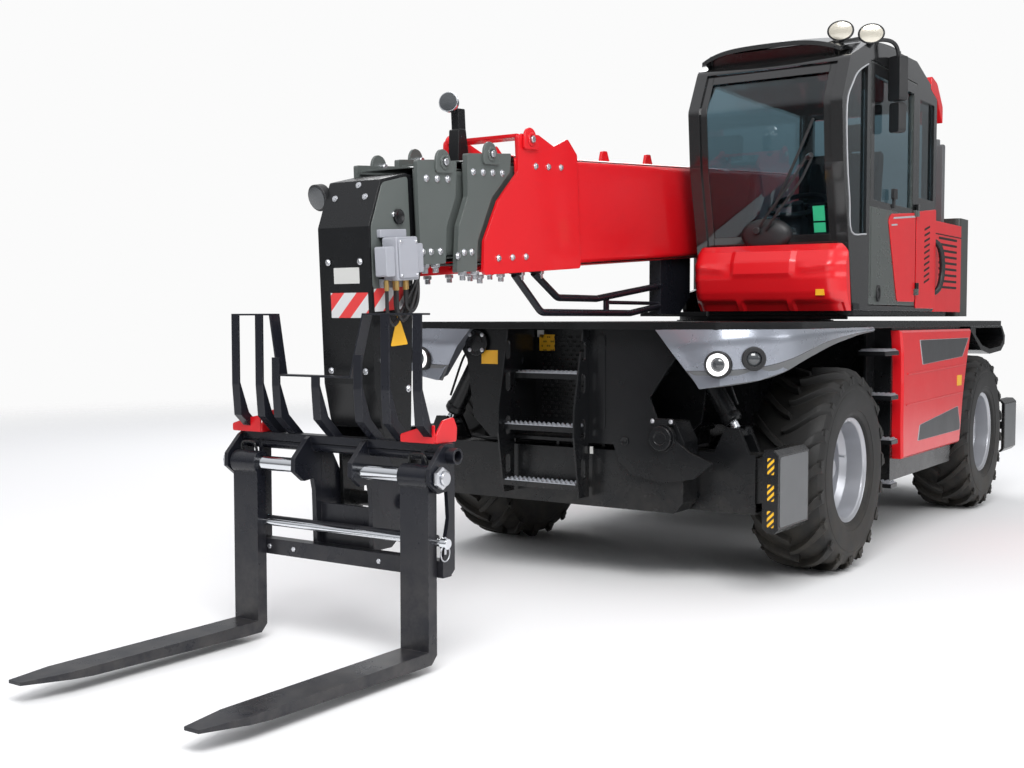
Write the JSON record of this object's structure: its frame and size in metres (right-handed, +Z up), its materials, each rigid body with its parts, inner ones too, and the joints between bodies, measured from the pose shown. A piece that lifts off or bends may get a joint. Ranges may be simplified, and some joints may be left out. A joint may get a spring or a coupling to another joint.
{
  "type": "telehandler",
  "caption": "Rotating telescopic handler with a slewing cab, a long sliding boom, pallet forks, swing-down stabilizer legs and four steered wheels.",
  "frame": {"origin": "on the ground under the middle of the machine with its forks, 1.4965 m in front of the slewing axis", "axes": "+Z up, -Y forwards along the boom and forks, +X the left side of the machine, where the cab is"},
  "size_m": [2.55, 8.513, 3.1296],
  "materials": {
    "black_steel": "satin",
    "graphite_steel": "satin",
    "red_panel": "gloss",
    "boom_grey": "satin",
    "silver_panel": "satin",
    "rim_silver": "satin",
    "shaft_chrome": "polished",
    "fork_black": "satin",
    "cast_block": "rough",
    "tyre_rubber": "matte",
    "cab_glass": "clear",
    "seat_fabric": "matte"
  },
  "bodies": {
    "chassis": {"chassis_frame": "black_steel", "deck_and_ladders": "black_steel", "lamp_housings": "silver_panel", "side_boxes": "black_steel", "engine": "cast_block", "left_cover": "red_panel", "axles": "black_steel"},
    "engine_cover": {"engine_cover": "red_panel"},
    "turret": {"turret_frame": "graphite_steel", "counterweight": "graphite_steel", "cab_shell": "graphite_steel", "cab_windows": "cab_glass", "cab_cowl": "red_panel", "seat_and_console": "seat_fabric", "rear_hood": "red_panel"},
    "cab_door": {"cab_door": "graphite_steel", "door_window": "cab_glass"},
    "boom_base": {"boom_base": "red_panel", "guard_rail": "fork_black"},
    "boom_section_2": {"boom_section_2": "boom_grey"},
    "boom_section_3": {"boom_section_3": "boom_grey"},
    "boom_head": {"boom_head": "boom_grey"},
    "fork_carriage": {"fork_frame": "fork_black", "fork_shafts": "shaft_chrome"},
    "left_fork": {"left_fork": "fork_black"},
    "right_fork": {"right_fork": "fork_black"},
    "lift_barrel": {"lift_barrel": "black_steel"},
    "lift_rod": {"lift_rod": "shaft_chrome"},
    "front_left_knuckle": {"front_left_knuckle": "black_steel"},
    "front_left_wheel": {"front_left_tyre": "tyre_rubber", "front_left_rim": "rim_silver"},
    "front_left_stabilizer_arm": {"front_left_stabilizer_arm": "black_steel"},
    "front_left_stabilizer_leg": {"front_left_stabilizer_leg": "black_steel"},
    "front_left_stabilizer_foot": {"front_left_stabilizer_foot": "black_steel"},
    "front_left_stabilizer_barrel": {"front_left_stabilizer_barrel": "black_steel"},
    "front_left_stabilizer_rod": {"front_left_stabilizer_rod": "shaft_chrome"},
    "front_right_knuckle": {"front_right_knuckle": "black_steel"},
    "front_right_wheel": {"front_right_tyre": "tyre_rubber", "front_right_rim": "rim_silver"},
    "front_right_stabilizer_arm": {"front_right_stabilizer_arm": "black_steel"},
    "front_right_stabilizer_leg": {"front_right_stabilizer_leg": "black_steel"},
    "front_right_stabilizer_foot": {"front_right_stabilizer_foot": "black_steel"},
    "front_right_stabilizer_barrel": {"front_right_stabilizer_barrel": "black_steel"},
    "front_right_stabilizer_rod": {"front_right_stabilizer_rod": "shaft_chrome"},
    "rear_left_knuckle": {"rear_left_knuckle": "black_steel"},
    "rear_left_wheel": {"rear_left_tyre": "tyre_rubber", "rear_left_rim": "rim_silver"},
    "rear_left_stabilizer_arm": {"rear_left_stabilizer_arm": "black_steel"},
    "rear_left_stabilizer_leg": {"rear_left_stabilizer_leg": "black_steel"},
    "rear_left_stabilizer_foot": {"rear_left_stabilizer_foot": "black_steel"},
    "rear_left_stabilizer_barrel": {"rear_left_stabilizer_barrel": "black_steel"},
    "rear_left_stabilizer_rod": {"rear_left_stabilizer_rod": "shaft_chrome"},
    "rear_right_knuckle": {"rear_right_knuckle": "black_steel"},
    "rear_right_wheel": {"rear_right_tyre": "tyre_rubber", "rear_right_rim": "rim_silver"},
    "rear_right_stabilizer_arm": {"rear_right_stabilizer_arm": "black_steel"},
    "rear_right_stabilizer_leg": {"rear_right_stabilizer_leg": "black_steel"},
    "rear_right_stabilizer_foot": {"rear_right_stabilizer_foot": "black_steel"},
    "rear_right_stabilizer_barrel": {"rear_right_stabilizer_barrel": "black_steel"},
    "rear_right_stabilizer_rod": {"rear_right_stabilizer_rod": "shaft_chrome"}
  },
  "joints": [
    {"name": "turret_slew", "type": "hinge", "parent": "chassis", "child": "turret", "pos_m": [0, 1.4965, 1.46], "axis": [0, 0, 1], "continuous": true},
    {"name": "boom_lift", "type": "hinge", "parent": "turret", "child": "boom_base", "pos_m": [-0.025, 2.9965, 2.35], "axis": [-1, 0, 0], "range_deg": [0, 70]},
    {"name": "section_2_slide", "type": "slide", "parent": "boom_base", "child": "boom_section_2", "axis": [0, -0.9976, -0.0698], "range_m": [0, 4.2]},
    {"name": "section_3_slide", "type": "slide", "parent": "boom_section_2", "child": "boom_section_3", "axis": [0, -0.9976, -0.0698], "range_m": [0, 4.2]},
    {"name": "head_slide", "type": "slide", "parent": "boom_section_3", "child": "boom_head", "axis": [0, -0.9976, -0.0698], "range_m": [0, 4.2]},
    {"name": "carriage_tilt", "type": "hinge", "parent": "boom_head", "child": "fork_carriage", "pos_m": [-0.025, -2.72861, 0.64649], "axis": [-1, 0, 0], "range_deg": [-100, 10]},
    {"name": "left_fork_slide", "type": "slide", "parent": "fork_carriage", "child": "left_fork", "axis": [-1, 0, 0], "range_m": [0, 0.2]},
    {"name": "right_fork_slide", "type": "slide", "parent": "fork_carriage", "child": "right_fork", "axis": [1, 0, 0], "range_m": [0, 0.2]},
    {"name": "lift_barrel_swing", "type": "hinge", "parent": "turret", "child": "lift_barrel", "pos_m": [-0.025, 2.7265, 1.925], "axis": [-1, 0, 0], "range_deg": [0, 71.41]},
    {"name": "lift_rod_slide", "type": "slide", "parent": "lift_barrel", "child": "lift_rod", "axis": [0, -0.9942, -0.1075], "range_m": [0, 0.5818]},
    {"name": "cab_door_hinge", "type": "hinge", "parent": "turret", "child": "cab_door", "pos_m": [1.255, 1.2095, 2.2], "axis": [0, 0, 1], "range_deg": [0, 100]},
    {"name": "engine_cover_hinge", "type": "hinge", "parent": "chassis", "child": "engine_cover", "pos_m": [-1.25, 1.4965, 1.4], "axis": [0, 1, 0], "range_deg": [0, 75]},
    {"name": "front_left_steering", "type": "hinge", "parent": "chassis", "child": "front_left_knuckle", "pos_m": [0.8925, -0.0085, 0.593], "axis": [0, 0, 1], "range_deg": [-35, 35]},
    {"name": "front_left_wheel_spin", "type": "hinge", "parent": "front_left_knuckle", "child": "front_left_wheel", "pos_m": [1.0525, -0.0085, 0.593], "axis": [1, 0, 0], "continuous": true},
    {"name": "front_left_stabilizer_swing", "type": "hinge", "parent": "chassis", "child": "front_left_stabilizer_arm", "pos_m": [-0.6, -0.8035, 0.83], "axis": [0, 1, 0], "range_deg": [0, 12]},
    {"name": "front_left_stabilizer_slide", "type": "slide", "parent": "front_left_stabilizer_arm", "child": "front_left_stabilizer_leg", "axis": [1, 0, 0], "range_m": [0, 1.15]},
    {"name": "front_left_stabilizer_foot_turn", "type": "hinge", "parent": "front_left_stabilizer_leg", "child": "front_left_stabilizer_foot", "pos_m": [1.132, -0.8035, 0.585], "axis": [0, 1, 0], "range_deg": [0, 78.5]},
    {"name": "front_left_stabilizer_barrel_swing", "type": "hinge", "parent": "chassis", "child": "front_left_stabilizer_barrel", "pos_m": [0.61, -0.8035, 1.345], "axis": [0, 1, 0], "range_deg": [0, 13.06]},
    {"name": "front_left_stabilizer_rod_slide", "type": "slide", "parent": "front_left_stabilizer_barrel", "child": "front_left_stabilizer_rod", "axis": [0.5119, 0, -0.859], "range_m": [0, 0.2788]},
    {"name": "front_right_steering", "type": "hinge", "parent": "chassis", "child": "front_right_knuckle", "pos_m": [-0.8925, -0.0085, 0.593], "axis": [0, 0, 1], "range_deg": [-35, 35]},
    {"name": "front_right_wheel_spin", "type": "hinge", "parent": "front_right_knuckle", "child": "front_right_wheel", "pos_m": [-1.0525, -0.0085, 0.593], "axis": [1, 0, 0], "continuous": true},
    {"name": "front_right_stabilizer_swing", "type": "hinge", "parent": "chassis", "child": "front_right_stabilizer_arm", "pos_m": [0.6, -0.9935, 0.83], "axis": [0, -1, 0], "range_deg": [0, 12]},
    {"name": "front_right_stabilizer_slide", "type": "slide", "parent": "front_right_stabilizer_arm", "child": "front_right_stabilizer_leg", "axis": [-1, 0, 0], "range_m": [0, 1.15]},
    {"name": "front_right_stabilizer_foot_turn", "type": "hinge", "parent": "front_right_stabilizer_leg", "child": "front_right_stabilizer_foot", "pos_m": [-1.132, -0.9935, 0.585], "axis": [0, -1, 0], "range_deg": [0, 78.5]},
    {"name": "front_right_stabilizer_barrel_swing", "type": "hinge", "parent": "chassis", "child": "front_right_stabilizer_barrel", "pos_m": [-0.61, -0.9935, 1.345], "axis": [0, -1, 0], "range_deg": [0, 13.06]},
    {"name": "front_right_stabilizer_rod_slide", "type": "slide", "parent": "front_right_stabilizer_barrel", "child": "front_right_stabilizer_rod", "axis": [-0.5119, 0, -0.859], "range_m": [0, 0.2788]},
    {"name": "rear_left_steering", "type": "hinge", "parent": "chassis", "child": "rear_left_knuckle", "pos_m": [0.8925, 3.0015, 0.593], "axis": [0, 0, 1], "range_deg": [-35, 35]},
    {"name": "rear_left_wheel_spin", "type": "hinge", "parent": "rear_left_knuckle", "child": "rear_left_wheel", "pos_m": [1.0525, 3.0015, 0.593], "axis": [1, 0, 0], "continuous": true},
    {"name": "rear_left_stabilizer_swing", "type": "hinge", "parent": "chassis", "child": "rear_left_stabilizer_arm", "pos_m": [-0.6, 3.7965, 0.83], "axis": [0, 1, 0], "range_deg": [0, 12]},
    {"name": "rear_left_stabilizer_slide", "type": "slide", "parent": "rear_left_stabilizer_arm", "child": "rear_left_stabilizer_leg", "axis": [1, 0, 0], "range_m": [0, 1.15]},
    {"name": "rear_left_stabilizer_foot_turn", "type": "hinge", "parent": "rear_left_stabilizer_leg", "child": "rear_left_stabilizer_foot", "pos_m": [1.132, 3.7965, 0.585], "axis": [0, 1, 0], "range_deg": [0, 78.5]},
    {"name": "rear_left_stabilizer_barrel_swing", "type": "hinge", "parent": "chassis", "child": "rear_left_stabilizer_barrel", "pos_m": [0.61, 3.7965, 1.345], "axis": [0, 1, 0], "range_deg": [0, 13.06]},
    {"name": "rear_left_stabilizer_rod_slide", "type": "slide", "parent": "rear_left_stabilizer_barrel", "child": "rear_left_stabilizer_rod", "axis": [0.5119, 0, -0.859], "range_m": [0, 0.2788]},
    {"name": "rear_right_steering", "type": "hinge", "parent": "chassis", "child": "rear_right_knuckle", "pos_m": [-0.8925, 3.0015, 0.593], "axis": [0, 0, 1], "range_deg": [-35, 35]},
    {"name": "rear_right_wheel_spin", "type": "hinge", "parent": "rear_right_knuckle", "child": "rear_right_wheel", "pos_m": [-1.0525, 3.0015, 0.593], "axis": [1, 0, 0], "continuous": true},
    {"name": "rear_right_stabilizer_swing", "type": "hinge", "parent": "chassis", "child": "rear_right_stabilizer_arm", "pos_m": [0.6, 3.9865, 0.83], "axis": [0, -1, 0], "range_deg": [0, 12]},
    {"name": "rear_right_stabilizer_slide", "type": "slide", "parent": "rear_right_stabilizer_arm", "child": "rear_right_stabilizer_leg", "axis": [-1, 0, 0], "range_m": [0, 1.15]},
    {"name": "rear_right_stabilizer_foot_turn", "type": "hinge", "parent": "rear_right_stabilizer_leg", "child": "rear_right_stabilizer_foot", "pos_m": [-1.132, 3.9865, 0.585], "axis": [0, -1, 0], "range_deg": [0, 78.5]},
    {"name": "rear_right_stabilizer_barrel_swing", "type": "hinge", "parent": "chassis", "child": "rear_right_stabilizer_barrel", "pos_m": [-0.61, 3.9865, 1.345], "axis": [0, -1, 0], "range_deg": [0, 13.06]},
    {"name": "rear_right_stabilizer_rod_slide", "type": "slide", "parent": "rear_right_stabilizer_barrel", "child": "rear_right_stabilizer_rod", "axis": [-0.5119, 0, -0.859], "range_m": [0, 0.2788]}
  ],
  "couplings": [
    {"joint": "section_3_slide", "follows": "section_2_slide", "ratio": 1},
    {"joint": "head_slide", "follows": "section_2_slide", "ratio": 1},
    {"joint": "lift_barrel_swing", "follows": "boom_lift", "ratio": 1.013},
    {"joint": "lift_rod_slide", "follows": "boom_lift", "m_per_rad": 0.47208},
    {"joint": "front_left_stabilizer_foot_turn", "follows": "front_left_stabilizer_slide", "rad_per_m": 1.1838},
    {"joint": "front_left_stabilizer_barrel_swing", "follows": "front_left_stabilizer_swing", "ratio": 1.0468},
    {"joint": "front_left_stabilizer_rod_slide", "follows": "front_left_stabilizer_swing", "m_per_rad": 1.3122},
    {"joint": "front_right_stabilizer_foot_turn", "follows": "front_right_stabilizer_slide", "rad_per_m": 1.1838},
    {"joint": "front_right_stabilizer_barrel_swing", "follows": "front_right_stabilizer_swing", "ratio": 1.0468},
    {"joint": "front_right_stabilizer_rod_slide", "follows": "front_right_stabilizer_swing", "m_per_rad": 1.3122},
    {"joint": "rear_left_stabilizer_foot_turn", "follows": "rear_left_stabilizer_slide", "rad_per_m": 1.1838},
    {"joint": "rear_left_stabilizer_barrel_swing", "follows": "rear_left_stabilizer_swing", "ratio": 1.0468},
    {"joint": "rear_left_stabilizer_rod_slide", "follows": "rear_left_stabilizer_swing", "m_per_rad": 1.3122},
    {"joint": "rear_right_stabilizer_foot_turn", "follows": "rear_right_stabilizer_slide", "rad_per_m": 1.1838},
    {"joint": "rear_right_stabilizer_barrel_swing", "follows": "rear_right_stabilizer_swing", "ratio": 1.0468},
    {"joint": "rear_right_stabilizer_rod_slide", "follows": "rear_right_stabilizer_swing", "m_per_rad": 1.3122},
    {"joint": "front_right_steering", "follows": "front_left_steering", "ratio": 1},
    {"joint": "rear_right_steering", "follows": "rear_left_steering", "ratio": 1}
  ]
}
